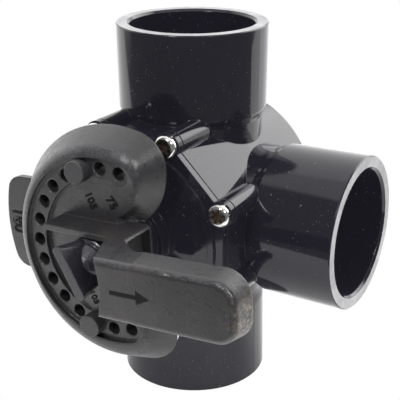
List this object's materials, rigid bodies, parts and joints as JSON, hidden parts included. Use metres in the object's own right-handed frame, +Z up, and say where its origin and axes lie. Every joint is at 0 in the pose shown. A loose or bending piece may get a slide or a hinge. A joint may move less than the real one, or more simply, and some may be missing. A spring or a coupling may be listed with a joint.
{
  "type": "three way valve",
  "caption": "Diverter valve for pipes: three sockets in a T, bolted cover, and a C-shaped handle with stop pins, tail tab and locking wing knob.",
  "frame": {"origin": "centre of the lower port's end face", "axes": "+Z up through the two in-line ports, +X out of the side port, -Y out along the stem towards the handle"},
  "size_m": [0.1606, 0.156, 0.182],
  "materials": {
    "body_plastic": "gloss",
    "handle_plastic": "grained",
    "knob_plastic": "satin",
    "screw_steel": "polished",
    "brass": "machined",
    "seal_rubber": "matt",
    "diverter_plastic": "satin",
    "bearing_plastic": "satin"
  },
  "bodies": {
    "housing": {"valve_body": "body_plastic", "cover": "body_plastic", "cover_screws": "screw_steel", "cover_o_ring": "seal_rubber", "stem_washer": "bearing_plastic", "stem_bush": "bearing_plastic", "stem_o_ring_inner": "seal_rubber", "stem_o_ring_outer": "seal_rubber", "foot_bush": "bearing_plastic", "foot_washer": "bearing_plastic"},
    "rotor": {"handle": "handle_plastic", "stem": "diverter_plastic", "stem_insert": "brass", "diverter": "diverter_plastic", "diverter_seal": "seal_rubber"},
    "clamp_washer": {"knob_washer": "bearing_plastic"},
    "knob": {"lock_knob": "knob_plastic", "knob_stud": "brass"},
    "pin_upper": {"stop_pin_upper": "handle_plastic"},
    "pin_lower": {"stop_pin_lower": "handle_plastic"}
  },
  "joints": [
    {"name": "handle_turn", "type": "hinge", "parent": "housing", "child": "rotor", "pos_m": [0, 0, 0.091], "axis": [0, -1, 0], "range_deg": [-63, 56.4]},
    {"name": "knob_back_off", "type": "slide", "parent": "rotor", "child": "clamp_washer", "axis": [0, -1, 0], "range_m": [0, 0.002]},
    {"name": "knob_turn", "type": "hinge", "parent": "clamp_washer", "child": "knob", "pos_m": [0, 0, 0.091], "axis": [0, -1, 0], "range_deg": [0, 725]},
    {"name": "pin_upper_pull", "type": "slide", "parent": "rotor", "child": "pin_upper", "axis": [0, -1, 0], "range_m": [0, 0.02]},
    {"name": "pin_lower_pull", "type": "slide", "parent": "rotor", "child": "pin_lower", "axis": [0, -1, 0], "range_m": [0, 0.02]}
  ],
  "couplings": [
    {"joint": "knob_turn", "follows": "knob_back_off", "rad_per_m": 6283.2}
  ]
}
